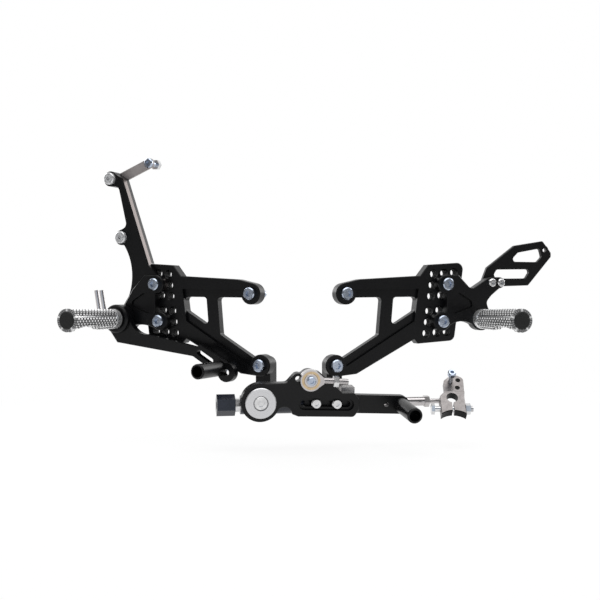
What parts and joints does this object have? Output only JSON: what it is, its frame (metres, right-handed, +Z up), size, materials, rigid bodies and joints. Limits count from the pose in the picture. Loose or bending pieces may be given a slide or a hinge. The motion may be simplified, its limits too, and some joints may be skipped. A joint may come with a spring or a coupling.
{
  "type": "rear sets footrest",
  "caption": "Adjustable motorcycle rear set kit: brake side and gear side foot peg brackets with pedal, heel guard, gear lever, shift rod and shift shaft clamp.",
  "frame": {"origin": "axis of the gear side's upper frame bolt, on the bracket's back face", "axes": "+X along the kit, from the brake side towards the gear side's foot peg; +Y towards the motorcycle, behind the brackets; +Z up"},
  "size_m": [0.5192, 0.1492, 0.2783],
  "materials": {
    "black_anodised": "satin black anodised",
    "zinc_steel": "zinc plated",
    "bright_aluminium": "machined bright",
    "black_plastic": "matte",
    "polished_steel": "polished",
    "brass": "turned",
    "stainless_sheet": "satin",
    "cast_aluminium": "tumbled casting",
    "brushed_aluminium": "face turned",
    "grey_block": "matte"
  },
  "bodies": {
    "root": {"brake_bracket": "black_anodised", "brake_carrier_bolts": "zinc_steel", "brake_foot_peg": "bright_aluminium", "brake_frame_leg": "black_anodised", "brake_lower_frame_bolt": "zinc_steel", "brake_peg_bolt": "zinc_steel", "brake_peg_cap": "black_plastic", "brake_peg_carrier": "black_anodised", "brake_upper_frame_bolt": "zinc_steel", "coupler_nut": "zinc_steel", "cylinder_arm": "black_anodised", "cylinder_bolts": "zinc_steel", "gear_bracket": "black_anodised", "gear_carrier_bolts": "zinc_steel", "gear_foot_peg": "bright_aluminium", "gear_frame_leg": "black_anodised", "gear_lower_frame_bolt": "zinc_steel", "gear_peg_bolt": "zinc_steel", "gear_peg_cap": "black_plastic", "gear_peg_carrier": "black_anodised", "gear_upper_frame_bolt": "zinc_steel", "heel_guard": "black_anodised", "heel_guard_screws": "zinc_steel", "link_bolt": "zinc_steel", "pedal_bush": "brass", "peg_washer": "black_anodised", "pinch_bolt": "zinc_steel", "pinch_nut": "zinc_steel", "pivot_bolt": "zinc_steel", "pivot_bush": "brass", "pivot_disc": "brushed_aluminium", "reservoir_stay": "stainless_sheet", "rod_coupler": "black_anodised", "rod_guide": "grey_block", "rod_stud": "zinc_steel", "shift_arm": "cast_aluminium", "shift_rod": "polished_steel", "stay_nut": "zinc_steel", "stay_screw": "zinc_steel"},
    "brake_pedal_body": {"brake_pedal": "black_anodised", "brake_toe_peg": "black_anodised", "brake_toe_screw": "zinc_steel", "pedal_studs": "polished_steel"},
    "gear_lever_body": {"gear_lever": "black_anodised", "toe_arm": "black_anodised", "toe_arm_screws": "zinc_steel", "gear_toe_peg": "black_anodised", "gear_toe_screw": "zinc_steel", "rod_end_bolt": "zinc_steel", "rod_end_ball": "polished_steel", "rod_end_spacer": "zinc_steel"},
    "rod_end_body": {"rod_end": "polished_steel", "rod_end_race": "brass", "rod_end_nut": "zinc_steel"}
  },
  "joints": [
    {"name": "brake_pedal_swing", "type": "hinge", "parent": "root", "child": "brake_pedal_body", "pos_m": [-0.2436, 0.02712, -0.027], "axis": [0.3584, 0.9336, 0], "range_deg": [0, 8]},
    {"name": "gear_lever_swing", "type": "hinge", "parent": "root", "child": "gear_lever_body", "pos_m": [-0.08102, -0.05706, -0.10728], "axis": [0.2237, -0.969, -0.1045], "range_deg": [-12, 12]},
    {"name": "rod_end_swivel", "type": "hinge", "parent": "gear_lever_body", "child": "rod_end_body", "pos_m": [-0.03082, -0.06022, -0.08526], "axis": [0.2237, -0.969, -0.1045], "range_deg": [-25, 25]}
  ]
}
